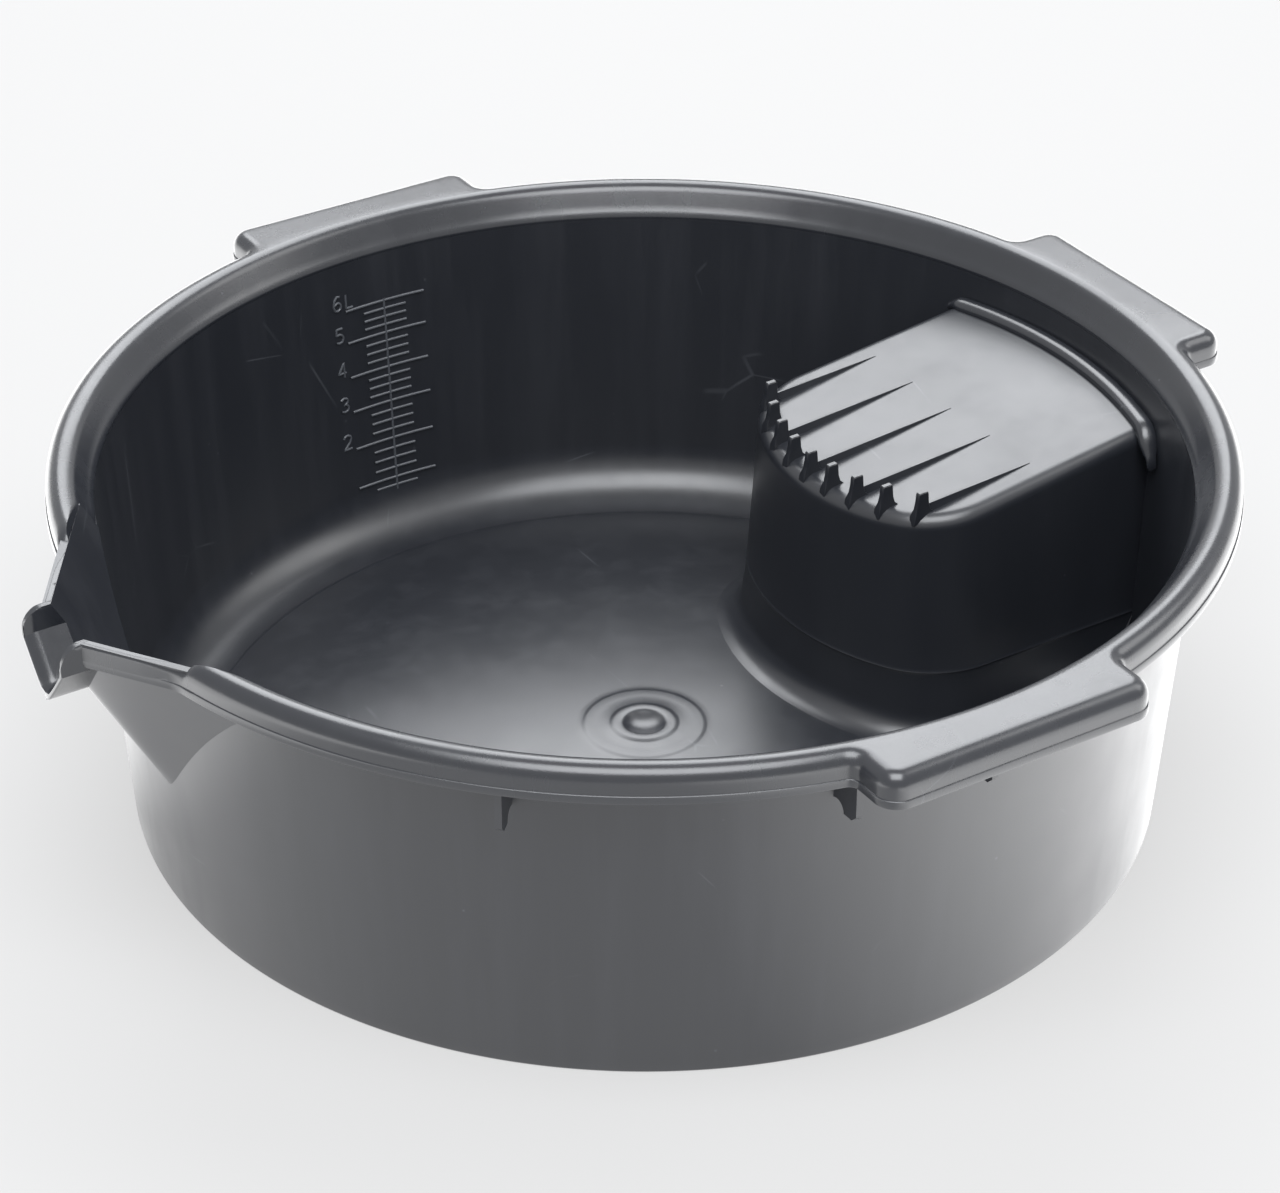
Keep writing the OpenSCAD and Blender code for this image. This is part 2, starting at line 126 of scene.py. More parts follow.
def buildGroup(name, inputs, outputs):
    group = bpy.data.node_groups.new(name, "ShaderNodeTree")
    for label, kind, value in inputs:
        addSocket(group, label, kind, "INPUT", value)
    for label, kind in outputs:
        addSocket(group, label, kind, "OUTPUT")
    return group, group.nodes.new("NodeGroupInput"), group.nodes.new("NodeGroupOutput")


def math2(tree, operation, a, b=None):
    # one maths node: a and b are sockets or plain numbers
    node = tree.nodes.new("ShaderNodeMath")
    node.operation = operation
    for slot, value in enumerate((a, b)):
        if value is None:
            continue
        if isinstance(value, (int, float)):
            node.inputs[slot].default_value = value
        else:
            tree.links.new(value, node.inputs[slot])
    return node.outputs[0]


def noise(tree, vector, scale, detail=3.0, rough=0.5):
    node = tree.nodes.new("ShaderNodeTexNoise")
    node.inputs["Scale"].default_value = scale
    node.inputs["Detail"].default_value = detail
    node.inputs["Roughness"].default_value = rough
    tree.links.new(vector, node.inputs["Vector"])
    return node.outputs["Fac"]


def remap(tree, value, fromLow, fromHigh, toLow, toHigh):
    node = tree.nodes.new("ShaderNodeMapRange")
    tree.links.new(value, node.inputs["Value"])
    limits = {"From Min": fromLow, "From Max": fromHigh, "To Min": toLow, "To Max": toHigh}
    for label, number in limits.items():
        node.inputs[label].default_value = number
    return node.outputs["Result"]


def stretch(tree, vector, x, y, z):
    node = tree.nodes.new("ShaderNodeMapping")
    node.inputs["Scale"].default_value = (x, y, z)
    tree.links.new(vector, node.inputs["Vector"])
    return node.outputs["Vector"]


# fine moulded skin: a soft ripple, a pebble too small to count, and the unevenness of the gloss
def moldedSkin():
    group, given, made = buildGroup("moldedSkin", [("Vector", "NodeSocketVector", None),
                                                   ("Gloss Low", "NodeSocketFloat", 0.34),
                                                   ("Gloss High", "NodeSocketFloat", 0.46)],
                                    [("Height", "NodeSocketFloat"), ("Roughness", "NodeSocketFloat")])
    place = given.outputs["Vector"]
    pebble = noise(group, place, 2600.0, 2.0)
    ripple = noise(group, place, 42.0, 2.0)
    height = math2(group, "ADD", math2(group, "MULTIPLY", pebble, 0.22),
                   math2(group, "MULTIPLY", ripple, 0.8))
    patch = noise(group, place, 16.0, 4.0, 0.6)
    mix = remap(group, patch, 0.3, 0.72, 0.0, 1.0)
    low, high = given.outputs["Gloss Low"], given.outputs["Gloss High"]
    gloss = math2(group, "ADD", low, math2(group, "MULTIPLY", mix, math2(group, "SUBTRACT", high, low)))
    group.links.new(height, made.inputs["Height"])
    group.links.new(gloss, made.inputs["Roughness"])
    return group


# upright flow marks of the moulding, faint streaks that run up the wall
def flowMarks():
    group, given, made = buildGroup("flowMarks", [("Vector", "NodeSocketVector", None)],
                                    [("Mask", "NodeSocketFloat")])
    long = stretch(group, given.outputs["Vector"], 1.0, 1.0, 0.07)
    streak = noise(group, long, 70.0, 4.0, 0.65)
    group.links.new(remap(group, streak, 0.46, 0.74, 0.0, 1.0), made.inputs["Mask"])
    return group


# specks of dust and short hairline scratches
def dustSpecks():
    group, given, made = buildGroup("dustSpecks", [("Vector", "NodeSocketVector", None),
                                                   ("Amount", "NodeSocketFloat", 0.5)],
                                    [("Mask", "NodeSocketFloat")])
    place = given.outputs["Vector"]
    cells = group.nodes.new("ShaderNodeTexVoronoi")
    cells.inputs["Scale"].default_value = 120.0
    cells.inputs["Randomness"].default_value = 1.0
    group.links.new(place, cells.inputs["Vector"])
    dot = remap(group, cells.outputs["Distance"], 0.03, 0.075, 1.0, 0.0)
    few = remap(group, noise(group, place, 60.0, 2.0), 0.6, 0.7, 0.0, 1.0)
    thin = group.nodes.new("ShaderNodeTexVoronoi")
    thin.feature = "DISTANCE_TO_EDGE"
    thin.inputs["Scale"].default_value = 26.0
    group.links.new(stretch(group, place, 1.0, 0.35, 1.0), thin.inputs["Vector"])
    line = remap(group, thin.outputs["Distance"], 0.002, 0.008, 1.0, 0.0)
    rare = remap(group, noise(group, place, 33.0, 2.0), 0.62, 0.7, 0.0, 0.5)
    both = math2(group, "MAXIMUM", math2(group, "MULTIPLY", dot, few), math2(group, "MULTIPLY", line, rare))
    group.links.new(math2(group, "MULTIPLY", both, given.outputs["Amount"]), made.inputs["Mask"])
    return group


skinGroup, flowGroup, dustGroup = moldedSkin(), flowMarks(), dustSpecks()


def useGroup(tree, group, place, **values):
    node = tree.nodes.new("ShaderNodeGroup")
    node.node_tree = group
    tree.links.new(place, node.inputs["Vector"])
    for label, value in values.items():
        node.inputs[label.replace("_", " ")].default_value = value
    return node


plastic = {
    "dark": (0.0135, 0.015, 0.019, 1.0), "worn": (0.026, 0.028, 0.034, 1.0), "dust": (0.16, 0.17, 0.19, 1.0),
    "rubbed": (0.065, 0.07, 0.08, 1.0), "specular": 0.62, "bump": 0.00022,
}


def satinBlack(name, glossLow, glossHigh, dust, marks=0.3, body="dark"):
    # satin black polypropylene: near-black body, patchy gloss, faint streaks and a few specks
    material = bpy.data.materials.new(name)
    material.use_nodes = True
    tree = material.node_tree
    shader = tree.nodes["Principled BSDF"]
    place = tree.nodes.new("ShaderNodeTexCoord").outputs["Object"]
    skin = useGroup(tree, skinGroup, place, Gloss_Low=glossLow, Gloss_High=glossHigh)
    flow = useGroup(tree, flowGroup, place)
    specks = useGroup(tree, dustGroup, place, Amount=dust)
    tone = tree.nodes.new("ShaderNodeMix")
    tone.data_type = "RGBA"
    tone.inputs["A"].default_value = plastic[body]
    tone.inputs["B"].default_value = plastic["worn"]
    tree.links.new(math2(tree, "MULTIPLY", flow.outputs["Mask"], marks), tone.inputs["Factor"])
    dusty = tree.nodes.new("ShaderNodeMix")
    dusty.data_type = "RGBA"
    dusty.inputs["B"].default_value = plastic["dust"]
    tree.links.new(specks.outputs["Mask"], dusty.inputs["Factor"])
    tree.links.new(tone.outputs["Result"], dusty.inputs["A"])
    tree.links.new(dusty.outputs["Result"], shader.inputs["Base Color"])
    tree.links.new(math2(tree, "ADD", skin.outputs["Roughness"],
                         math2(tree, "MULTIPLY", flow.outputs["Mask"], 0.05)), shader.inputs["Roughness"])
    bump = tree.nodes.new("ShaderNodeBump")
    bump.inputs["Strength"].default_value = 0.35
    bump.inputs["Distance"].default_value = plastic["bump"]
    tree.links.new(skin.outputs["Height"], bump.inputs["Height"])
    tree.links.new(bump.outputs["Normal"], shader.inputs["Normal"])
    shader.inputs["IOR"].default_value = 1.5
    shader.inputs["Specular IOR Level"].default_value = plastic["specular"]
    return material


wallSkin = satinBlack("satin black wall", 0.27, 0.36, 0.35, 0.4)
rimSkin = satinBlack("satin black rim", 0.22, 0.30, 0.25, 0.15)
shelfSkin = satinBlack("satin black shelf", 0.28, 0.36, 0.25, 0.1)
markSkin = satinBlack("rubbed scale marks", 0.30, 0.36, 0.2, 0.3, "rubbed")
print("materials made")

spout = {
    "turn": 33.7, "lean": 24.1, "sideIn": 104.5, "sideT": 2.2, "keelRound": 3.2, "topZ": 113.0, "tipY": 13.1,
}
turnA, leanA = math.radians(spout["turn"]), math.radians(spout["lean"])


def sideX(y, z, c):
    # how far forward a leaning side stands at y and z, with the meeting line of the two sides rounded
    soft = np.sqrt(y * y + spout["keelRound"] ** 2)
    ahead = c + math.sin(leanA) * z - math.cos(leanA) * math.sin(turnA) * soft
    return ahead / (math.cos(leanA) * math.cos(turnA))


def spoutCut(angle, radius, c):
    # height at which the wall at this angle from straight ahead meets a side, by halving
    low, high = np.zeros_like(angle), np.full_like(angle, pan["wallTopZ"])
    for _ in range(36):
        mid = (low + high) / 2
        r = radius(mid)
        clear = r * np.cos(angle) > sideX(r * np.sin(angle), mid, c)
        low, high = np.where(clear, mid, low), np.where(clear, high, mid)
    return np.where(np.abs(angle) < turnA, high, pan["wallTopZ"])


def bowlProfile():
    # inside from the middle of the floor out to the top of the wall, then back down outside and under
    top = floorZ(pan["bossR"]) + pan["bossRise"]
    ring, dimple, t = pan["ringR"], pan["dimpleR"], pan["wallT"]
    depth, rise = pan["dimpleDepth"], pan["ringRise"]
    boss = np.array([[0, top - depth], [1.5, top - depth * 0.97], [3.2, top - depth * 0.8],
                     [4.7, top - depth * 0.42], [dimple, top + 0.05], [dimple + 0.6, top + rise * 0.75],
                     [dimple + 1.4, top + rise], [ring - 1.2, top + rise],
                     [ring - 0.4, top + rise * 0.8], [ring + 0.3, top + rise * 0.3],
                     [ring + 1.1, top], [15.5, top - 0.02], [18.4, top - 0.04], [19.0, top - 0.12],
                     [19.6, floorZ(19.6) + 0.12], [20.3, floorZ(20.3)]])
    r = np.linspace(22, cornerX - 1.6, 44)
    dome = np.stack([r, floorZ(r)], axis=1)
    edge = cornerX - 1.0
    step = np.array([[edge, floorZ(edge)], [edge + 0.35, floorZ(edge) - 0.08],
                     [edge + 0.65, pan["cornerZ"] + 0.06]])
    a = np.radians(np.linspace(-90, -7.2, 30))
    arc = np.stack([cornerX + pan["cornerR"] * np.cos(a), cornerTop + pan["cornerR"] * np.sin(a)], axis=1)
    inside = np.vstack([boss, dome, step, arc])
    a = np.radians(np.linspace(-31, -90, 14))
    outerCorner = pan["cornerR"] + t
    under = np.stack([cornerX + outerCorner * np.cos(a), cornerTop + outerCorner * np.sin(a)], axis=1)
    r = np.linspace(cornerX - 4, pan["bossR"] + 1, 20)
    below = np.stack([r, floorZ(r) - t], axis=1)
    bossUnder = floorZ(pan["bossR"]) - t
    foot = np.array([[pan["footR"] + 0.3, bossUnder], [pan["footR"], bossUnder - 0.5], [pan["footR"], 0.5],
                     [pan["footR"] - 0.5, 0], [0, 0]])
    outside = np.vstack([under, below, foot])
    return inside, outside


def bowlSurface():
    turn = np.arange(pan["turns"]) * 2 * math.pi / pan["turns"]
    ahead = (turn + 1e-6) - math.pi
    inside, outside = bowlProfile()
    topIn = spoutCut(ahead, innerR, spout["sideIn"])
    topOut = spoutCut(ahead, outerR, spout["sideIn"] + spout["sideT"])
    share = np.linspace(0, 1, 34)[:, None]
    start = inside[-1, 1]
    zIn = start + (topIn[None, :] - start) * share[1:]
    zOut = (pan["footRound"] + (topOut[None, :] - pan["footRound"]) * share)[::-1]
    a = np.radians([20, 45, 70, 90])[:, None] + 0 * turn[None, :]
    round0 = pan["footRound"]
    zFoot = round0 * (1 - np.sin(a))
    rFoot = outerR(round0) - round0 * (1 - np.cos(a))
    zLip = np.array([0.0, 0.6, 5.0])[:, None] + 0 * turn[None, :]
    rLip = innerR(zLip) + np.array([0.6, 0.0, 0.0])[:, None]
    radius = np.vstack([inside[:, :1] + 0 * turn, innerR(zIn), outerR(zOut), rFoot, rLip,
                        outside[:, :1] + 0 * turn])
    height = np.vstack([inside[:, 1:] + 0 * turn, zIn, zOut, zFoot, zLip, outside[:, 1:] + 0 * turn])
    return np.stack([radius * np.cos(turn), radius * np.sin(turn), height], axis=-1)


column = {
    "noseX": 57.5, "noseR": 75.0, "cornerR": 28.0, "halfWidth": 51.5, "noseZ": 82.0, "slope": 7.1,
    "draft": 3.5, "lipR": 4.6, "footR": 9.0, "wallT": 2.2, "seamZ": 30.0,
}
noseC = column["noseX"] + column["noseR"]
sideC = column["halfWidth"] - column["cornerR"]
sideX0 = noseC - math.sqrt((column["noseR"] - column["cornerR"]) ** 2 - sideC ** 2)
sideTurn = math.atan2(sideC, sideX0 - noseC)
slopeT = math.tan(math.radians(column["slope"]))
columnDraft = math.tan(math.radians(column["draft"]))


def shelfZ(x):
    return column["noseZ"] + (x - column["noseX"]) * slopeT


def insideColumn(p, grow):
    # true where a point in plan lies within the column's outline grown by this much
    x, y = p[:, 0], np.abs(p[:, 1])
    nose = np.hypot(x - noseC, y) < column["noseR"] + grow
    corner = np.hypot(x - sideX0, y - sideC) < column["cornerR"] + grow
    side = (y < column["halfWidth"] + grow) & (x > sideX0)
    wedge = np.arctan2(y, x - noseC) > sideTurn
    return side | corner | (nose & wedge & (x < noseC)) | (nose & (y < sideC) & (x < noseC))


def bowlKeep(centre):
    low = centre[:, 2] < 70
    near = insideColumn(centre, 3.6) & (np.hypot(centre[:, 0], centre[:, 1]) < innerR(centre[:, 2]) - 0.6)
    return ~(low & near)


bowl = gridMesh("bowlShell", bowlSurface(), loopCols=True, keep=bowlKeep, sharp=38)
placePiece(bowl, wallSkin, "wall", "corner_fillet", "floor_panel", "gate_boss", "centre_foot")
print("bowl made")

rim = {
    "beadR": 180.0, "beadZ": 108.0, "rollR": 4.9, "rollC": 174.7, "rollZ": 110.7, "step": 0.4,
    "skirtZ": 105.4, "rampTopR": 170.46, "rampLowR": 165.9, "rampTop": 2.45, "rampFall": 7.15,
    "gripFront": 190.4, "gripHalf": 45.0, "gripCorner": 7.0, "gripFillet": 3.0, "thick": 2.2,
    "capFrom": 13.0, "capTo": 15.2,
}


def arcPiece(cx, cy, r, a0, a1, count, inward=False):
    # part of a circle with its outward normals, or inward ones where the outline is hollow
    a = np.radians(np.linspace(a0, a1, count))
    unit = np.stack([np.cos(a), np.sin(a)], axis=1)
    return np.array([cx, cy]) + r * unit, -unit if inward else unit


def linePiece(p, q, count):
    # straight part, normals to its right
    share = np.linspace(0, 1, count + 2)[1:-1, None]
    p, q = np.array(p, float), np.array(q, float)
    d = (q - p) / np.linalg.norm(q - p)
    return p + (q - p) * share, np.tile([d[1], -d[0]], (count, 1))


def turned(piece, degrees):
    a = math.radians(degrees)
    m = np.array([[math.cos(a), math.sin(a)], [-math.sin(a), math.cos(a)]])
    return piece[0] @ m, piece[1] @ m


def rimOutline():
    # bead line in plan from the tip of one flange, round all three grips, to the tip of the other
    fillet, corner, half = rim["gripFillet"], rim["gripCorner"], rim["gripHalf"]
    front, beadR = rim["gripFront"], rim["beadR"]
    cy = half + fillet
    cx = math.sqrt((beadR + fillet) ** 2 - cy ** 2)
    meet = math.degrees(math.atan2(cy, cx))
    halfGrip = [linePiece((front, 0), (front, half - corner), 26),
                arcPiece(front - corner, half - corner, corner, 0, 90, 14),
                linePiece((front - corner, half), (cx, half), 5),
                arcPiece(cx, cy, fillet, -90, meet - 180, 10, inward=True)]
    mirrored = [(p[::-1] * [1, -1], n[::-1] * [1, -1]) for p, n in halfGrip[::-1]]
    wholeGrip = mirrored + halfGrip
    bend = 14.0
    face = (spout["sideIn"] + spout["sideT"] + math.sin(leanA) * spout["topZ"]) / math.cos(leanA)
    aim = 180 - spout["turn"]
    away = math.degrees(math.acos((face + bend) / (beadR + bend)))
    bendAt = math.radians(aim + away)
    bx, by = (beadR + bend) * math.cos(bendAt), (beadR + bend) * math.sin(bendAt)
    unit = np.array([math.cos(math.radians(aim)), math.sin(math.radians(aim))])
    along = np.array([-unit[1], unit[0]])
    start = np.array([bx, by]) - bend * unit
    tip = start + along * (start[1] - spout["tipY"]) / -along[1]
    parts = halfGrip + [arcPiece(0, 0, beadR, meet + 0.6, 90 - meet - 0.6, 66)]
    parts += [turned(p, 90) for p in wholeGrip]
    parts += [arcPiece(0, 0, beadR, 90 + meet + 0.6, aim + away - 0.4, 96)]
    parts += [arcPiece(bx, by, bend, aim + away - 180, aim - 180, 12, inward=True)]
    parts += [linePiece(start, tip, 20), (tip[None, :], unit[None, :])]
    p, n = np.vstack([q[0] for q in parts]), np.vstack([q[1] for q in parts])
    flip = np.array([1, -1])
    return np.vstack([p[::-1] * flip, p[:]]), np.vstack([n[::-1] * flip, n[:]])


def rimSurface():
    p, n = rimOutline()
    ahead = np.degrees(np.abs(np.arctan2(p[:, 1], -p[:, 0])))
    s = np.clip((ahead - rim["capFrom"]) / (rim["capTo"] - rim["capFrom"]), 0, 1)
    cap = np.sqrt(1 - (1 - s) ** 2)
    crest = spout["topZ"] + (rim["rollZ"] + rim["rollR"] - spout["topZ"]) * cap
    wide = np.clip((ahead - 8.0) / 8.0, 0, 1)
    edge = 1.3 + (rim["rollR"] - 1.3) * wide * wide * (3 - 2 * wide)
    step = rim["step"] * np.clip((ahead - 9.0) / 5.0, 0, 1)
    bead = rim["beadZ"]

    def at(d, z):
        d, z = np.broadcast_to(d, crest.shape), np.broadcast_to(z, crest.shape)
        return np.stack([p[:, 0] - n[:, 0] * d, p[:, 1] - n[:, 1] * d, z], axis=1)

    t, skirt = rim["thick"], rim["skirtZ"]
    rows = [at(t, skirt + 0.5), at(t - 0.5, skirt), at(0.5, skirt), at(0.12, skirt + 0.12),
            at(0, skirt + 0.5), at(0, bead - 0.5), at(0.1, bead - 0.12), at(step * 0.6 + 0.05, bead),
            at(step, bead + 0.1 * step), at(step, bead + 0.9)]
    for a in np.radians([0, 9, 18, 27, 36, 45, 54, 63, 72, 81, 90]):
        rows.append(at(step + edge * (1 - math.cos(a)), crest - edge * (1 - math.sin(a))))
    outer = rows[-1]
    turn = np.arctan2(outer[:, 1], outer[:, 0])
    unit = np.stack([np.cos(turn), np.sin(turn), 0 * turn], axis=1)
    ring = unit * rim["rollC"] + np.stack([0 * crest, 0 * crest, crest], axis=1)
    for share in (0.12, 0.4, 0.7):
        rows.append(outer + (ring - outer) * share)

    def circle(r, z):
        return unit * r + np.stack([0 * crest, 0 * crest, np.broadcast_to(z, crest.shape)], axis=1)

    for a in np.radians(np.linspace(90, 150, 9)):
        drop = rim["rollR"] * (1 - math.sin(a))
        rows.append(circle(rim["rollC"] + rim["rollR"] * math.cos(a), crest - drop))
    for share in (0.25, 0.5, 0.75):
        rows.append(circle(rim["rampTopR"] - (rim["rampTopR"] - rim["rampLowR"]) * share,
                           crest - rim["rampTop"] - rim["rampFall"] * share))
    rows += [circle(165.72, crest - 9.2), circle(165.62, crest - 10.4), circle(165.9, crest - 11.0),
             circle(167.0, crest - 10.6)]
    rows += [circle(167.9, crest - 9.2), circle(172.2, crest - 3.3), circle(174.0, crest - t)]
    rows += [at(step + edge, crest - t), at(step + t, crest - np.maximum(edge, t + 0.6)), at(step + t, bead)]
    grid = np.stack(rows, axis=0)
    # nothing of the rim stands inside the spout: points are pushed out to the inner planes
    c, s2 = math.cos(turnA), math.sin(turnA)
    gap = (spout["sideIn"] + math.sin(leanA) * grid[..., 2]) / math.cos(leanA) - 0.04
    reach = -grid[..., 0] * c + np.abs(grid[..., 1]) * s2
    near = np.degrees(np.abs(np.arctan2(grid[..., 1], -grid[..., 0]))) < 26
    push = np.where(near, np.maximum(gap - reach, 0), 0)
    grid[..., 0] -= push * c
    grid[..., 1] += push * s2 * np.sign(grid[..., 1])
    return np.swapaxes(grid, 0, 1)


rimPiece = gridMesh("rolledRim", rimSurface(), loopCols=True, capRows=True, sharp=42)
placePiece(rimPiece, rimSkin, "rim_roll", "rim_skirt", "grip_back", "grip_left", "grip_right",
           "spout_flange_left", "spout_flange_right")
print("rim made")

channel = {
    "half": 13.1, "wall": 2.2, "keelZ": 89.3, "flank": 51.2, "tipX": 199.3, "noseRound": 7.0,
    "lip": 2.2, "flat": 1.6,
}
flankT = math.tan(math.radians(channel["flank"]))


def channelFloor(y):
    # inside of the channel: two flanks that meet in a rounded keel
    inner = channel["keelZ"] + channel["wall"] / math.cos(math.radians(channel["flank"]))
    return inner + flankT * (np.sqrt(y * y + channel["flat"] ** 2) - channel["flat"] * 0.55)


def spoutSurface():
    # each column stands at one y: up the inner face to the top edge, over it, and down the outer face
    slot = channel["half"] - channel["wall"]
    y = np.concatenate([np.linspace(0, slot, 24), [slot + 0.02], np.linspace(slot + 0.3, 57.0, 60)])
    y = np.concatenate([-y[:0:-1], y])
    cIn, cOut = spout["sideIn"], spout["sideIn"] + spout["sideT"]

    def meet(radius, c):
        low, high = np.zeros_like(y), np.full_like(y, spout["topZ"])
        for _ in range(36):
            mid = (low + high) / 2
            clear = np.sqrt(np.maximum(radius(mid) ** 2 - y * y, 0)) > sideX(y, mid, c)
            low, high = np.where(clear, mid, low), np.where(clear, high, mid)
        return high

    top = np.where(np.abs(y) <= slot + 0.01, channelFloor(y) - 0.12, spout["topZ"] - 0.05)
    footIn, footOut = np.minimum(meet(innerR, cIn), top), np.minimum(meet(outerR, cOut), top)
    share = np.linspace(0, 1, 26)[:, None]
    zIn = footIn - 0.8 + (top - footIn + 0.8) * share
    zOut = (footOut - 0.8 + (top - footOut + 0.8) * share)[::-1]
    xIn, xOut = sideX(y, zIn, cIn), sideX(y, zOut, cOut)
    x, z = np.vstack([xIn, xOut]), np.vstack([zIn, zOut])
    return np.stack([-x, np.broadcast_to(y, x.shape), z], axis=-1)


def channelSurface():
    # closed section in the y-z plane carried forward along the channel
    half, t, top = channel["half"], channel["wall"], spout["topZ"]
    yOut = np.linspace(-half, half, 41)
    keel = channel["keelZ"] + flankT * (np.sqrt(yOut ** 2 + channel["flat"] ** 2) - channel["flat"] * 0.8)
    shoulder = keel[0]
    up = np.linspace(shoulder, top - 0.6, 8)[1:]
    outer = np.concatenate([np.stack([np.full(7, -half), up[::-1]], 1), np.stack([yOut, keel], 1),
                            np.stack([np.full(7, half), up], 1)])
    inHalf = half - t
    yIn = np.linspace(inHalf, -inHalf, 37)
    low = channelFloor(yIn)
    upIn = np.linspace(low[0], top - 0.6, 8)[1:]
    inner = np.concatenate([np.stack([np.full(7, inHalf), upIn[::-1]], 1), np.stack([yIn, low], 1),
                            np.stack([np.full(7, -inHalf), upIn], 1)])
    rightTop = np.array([[half - 0.2, top - 0.17], [half - 0.6, top], [inHalf + 0.6, top],
                         [inHalf + 0.2, top - 0.17]])
    leftTop = rightTop[::-1] * [-1, 1]
    section = np.concatenate([outer, rightTop, inner, leftTop])
    isInner = np.concatenate([np.zeros(len(outer) + 2), np.ones(len(inner) + 4), np.zeros(2)])
    isInner[len(outer) + 2 + 2 + len(inner) + 2:] = 0
    dx = np.array([0.0, 0.15, 0.5, 1.0, 1.6, 2.3, 3.2, 4.2, 5.2, 7.0, 9.5, 13.0, 18.3])
    r = channel["noseRound"]
    drop = r - np.sqrt(np.maximum(r * r - np.maximum(r - dx, 0) ** 2, 0))
    grid = np.zeros((len(dx), len(section), 3))
    grid[..., 0] = -(channel["tipX"] - dx)[:, None]
    grid[..., 1] = section[None, :, 0]
    grid[..., 2] = section[None, :, 1]
    high = (top - drop)[:, None]
    grid[..., 2] = np.where(grid[..., 2] > high, high - (grid[..., 2] - high) * 0.02, grid[..., 2])
    flare = np.clip(1 - dx / 3.0, 0, 1)[:, None] * isInner[None, :] * channel["lip"] * 0.55
    grid[..., 1] += np.sign(grid[..., 1]) * np.minimum(flare, 1.1) * (np.abs(grid[..., 1]) > 1)
    grid[..., 2] -= flare * 1.1 * (grid[..., 2] < 108)
    shrink = np.array([0.35, 0.12] + [0.0] * (len(dx) - 2))[:, None] * (1 - isInner[None, :])
    grid[..., 1] -= np.sign(grid[..., 1]) * shrink
    grid[..., 2] += shrink * (grid[..., 2] < 106)
    # nothing of the channel stands inside the spout
    inside = sideX(np.abs(grid[..., 1]), grid[..., 2], spout["sideIn"]) + 0.2
    grid[..., 0] = -np.maximum(-grid[..., 0], inside)
    return grid


spoutPiece = gridMesh("spoutSides", spoutSurface(), loopRows=True, sharp=35)
placePiece(spoutPiece, wallSkin, "spout_side_left", "spout_side_right", "spout_keel")
channelPiece = gridMesh("pouringChannel", channelSurface(), loopCols=True, capRows=True, sharp=35)
placePiece(channelPiece, rimSkin, "spout_channel")
print("spout made")


def columnOutline():
    # plan outline from the wall along one side, round the nose, and back along the other side
    r, half = column["cornerR"], column["halfWidth"]
    start = math.degrees(sideTurn)
    side = linePiece((sideX0, half), (172.0, half), 30)
    line = (side[0][::-1], np.tile([0.0, 1.0], (30, 1)))
    corner = arcPiece(sideX0, sideC, r, 90, start, 26)
    nose = arcPiece(noseC, 0, column["noseR"], start + 0.4, 180, 30)
    p = np.vstack([line[0], corner[0], nose[0]])
    n = np.vstack([line[1], corner[1], nose[1]])
    flip = np.array([1, -1])
    return np.vstack([p, p[-2::-1] * flip]), np.vstack([n, n[-2::-1] * flip])


def columnSurface():
    # rows climb from the hollow inside, round the foot, up the side, over the lip and in across the shelf
    p, n = columnOutline()
    x = p[:, 0]
    top = shelfZ(x)

    def at(grow, z):
        q = p + n * np.broadcast_to(grow, x.shape)[:, None]
        return np.stack([q[:, 0], q[:, 1], np.broadcast_to(z, x.shape)], axis=1)

    def inward(share, drop, z0):
        edge = at(z0, top)
        spine = np.stack([np.clip(edge[:, 0], 96, 172), 0 * x, 0 * x], axis=1)
        q = edge + (spine - edge) * share
        q[:, 2] = shelfZ(q[:, 0]) - drop
        return q

    grown = columnDraft * column["noseZ"]
    t, lip, foot = column["wallT"], column["lipR"], column["footR"]
    rows = [inward(1.0, t, -t), inward(0.5, t, -t), inward(0.0, t, -t)]
    rows += [at(grown * (1 - z / column["noseZ"]) - t, z) for z in (60, 30, 0.8)]
    rows += [at(grown, 0.8)]
    base = at(grown, 0)
    ground = groundZ(np.hypot(base[:, 0], base[:, 1]))
    for a in np.radians([0, 10, 22, 34, 46, 58, 70, 80, 90]):
        out = foot * (1 - math.sin(a))
        q = at(grown - columnDraft * ground + out, 0)
        r = np.minimum(np.hypot(q[:, 0], q[:, 1]), innerR(20.0))
        q[:, 2] = groundZ(r) - (0.12 if a == 0 else 0) + foot * (1 - math.cos(a))
        rows.append(q)
    lowZ = rows[-1][:, 2]
    seam = column["seamZ"]
    for z in (seam - 6, seam - 1.2, seam - 0.35, seam, seam + 0.35, seam + 1.2, seam + 8):
        raise0 = 0.28 if z == seam else (0.1 if abs(z - seam) < 0.5 else 0.0)
        rows.append(at(columnDraft * (column["noseZ"] - z) + raise0, np.maximum(z, lowZ + 0.05)))
    high = seam + 8
    for share in np.linspace(0.12, 1, 12):
        z = high + (top - lip - high) * share
        rows.append(at(columnDraft * (column["noseZ"] - z), z))
    for a in np.radians([12, 24, 36, 48, 60, 72, 82, 90]):
        grow = columnDraft * (column["noseZ"] - top + lip) - lip * (1 - math.cos(a))
        q = at(grow, 0)
        q[:, 2] = top - lip * (1 - math.sin(a)) + (q[:, 0] - x) * slopeT * math.sin(a)
        rows.append(q)
    for share in (0.04, 0.15, 0.35, 0.6, 0.85, 1.0):
        rows.append(inward(share, 0.0, -lip))
    grid = np.stack(rows, axis=0)
    # nothing reaches past the middle of the pan's wall
    r = np.hypot(grid[..., 0], grid[..., 1])
    most = innerR(np.clip(grid[..., 2], 0, 106)) + 1.0
    scale = np.minimum(1, most / r)
    grid[..., 0] *= scale
    grid[..., 1] *= scale
    return grid


columnPiece = gridMesh("columnAndShelf", columnSurface(), sharp=50)
placePiece(columnPiece, shelfSkin, "column_wall", "shelf_top")

